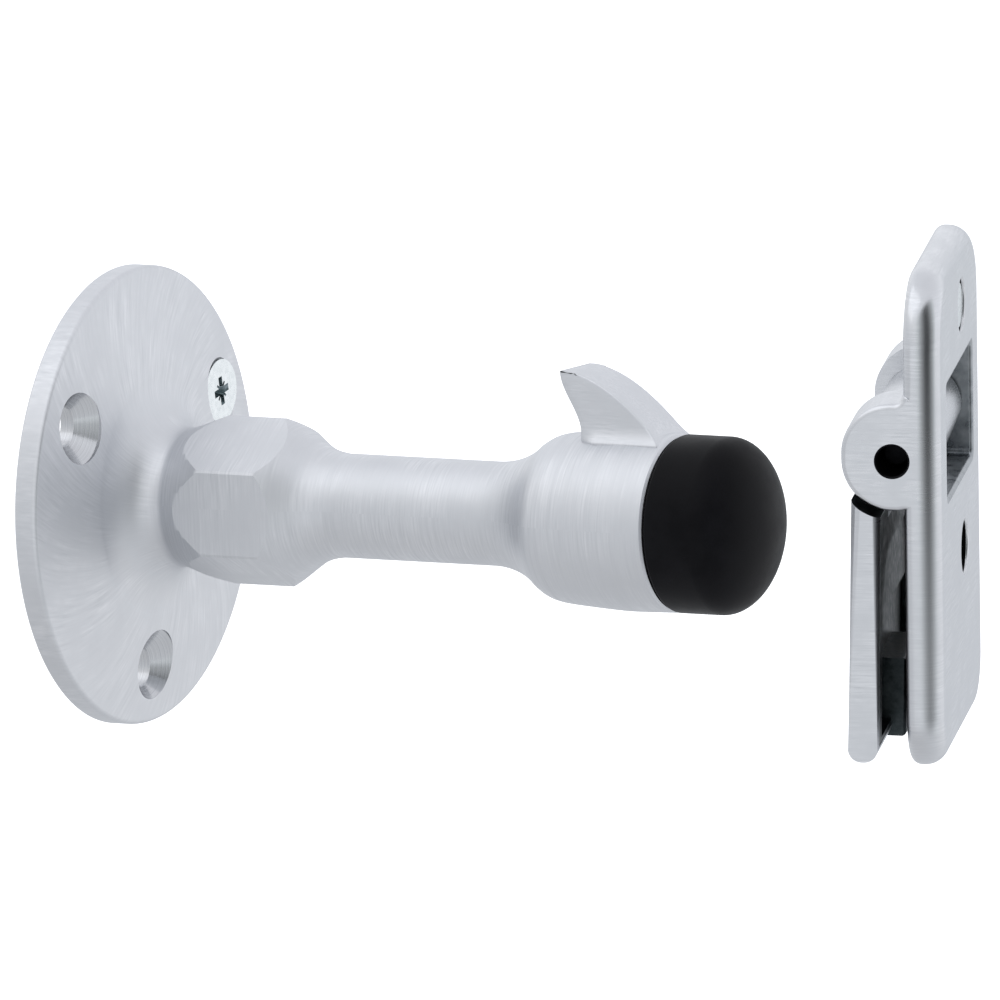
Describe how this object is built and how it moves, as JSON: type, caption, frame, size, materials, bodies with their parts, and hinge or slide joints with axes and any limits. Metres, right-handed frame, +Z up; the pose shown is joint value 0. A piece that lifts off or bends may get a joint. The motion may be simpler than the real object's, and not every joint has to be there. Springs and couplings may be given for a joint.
{
  "type": "wall door stop with hook and hinged keeper",
  "caption": "Wall-mounted door stop with a round flange, rubber bumper and cast hook, and a door-mounted plate whose hinged flap drops behind the hook to hold the door open.",
  "frame": {"origin": "centre of the wall flange's flat back face", "axes": "+X out of the wall along the stop, towards the bumper; +Z up, towards the hook; +Y to the left when looking at the wall"},
  "size_m": [0.1799, 0.0899, 0.0784],
  "materials": {
    "satin_chrome": "satin chrome plating, brushed",
    "black_rubber": "smooth moulded rubber",
    "zinc_plate": "bright zinc plated steel",
    "dark_steel": "dark oiled steel"
  },
  "bodies": {
    "wall_stop": {"stop_body": "satin_chrome", "rubber_bumper": "black_rubber", "wall_screw": "zinc_plate"},
    "door_keeper": {"door_plate": "satin_chrome", "hinge_pin": "dark_steel", "plate_screw": "zinc_plate"},
    "catch": {"catch_flap": "satin_chrome"}
  },
  "joints": [
    {"name": "door_swing", "type": "hinge", "parent": "wall_stop", "child": "door_keeper", "pos_m": [0.19869, 0.06818, -0.06444], "axis": [-0.2765, -0.0977, -0.956], "range_deg": [0, 20.8]},
    {"name": "catch_hinge", "type": "hinge", "parent": "door_keeper", "child": "catch", "pos_m": [0.1413, -0.035, 0.0206], "axis": [-0.3384, 0.9352, 0.1045], "range_deg": [0, 135]}
  ]
}
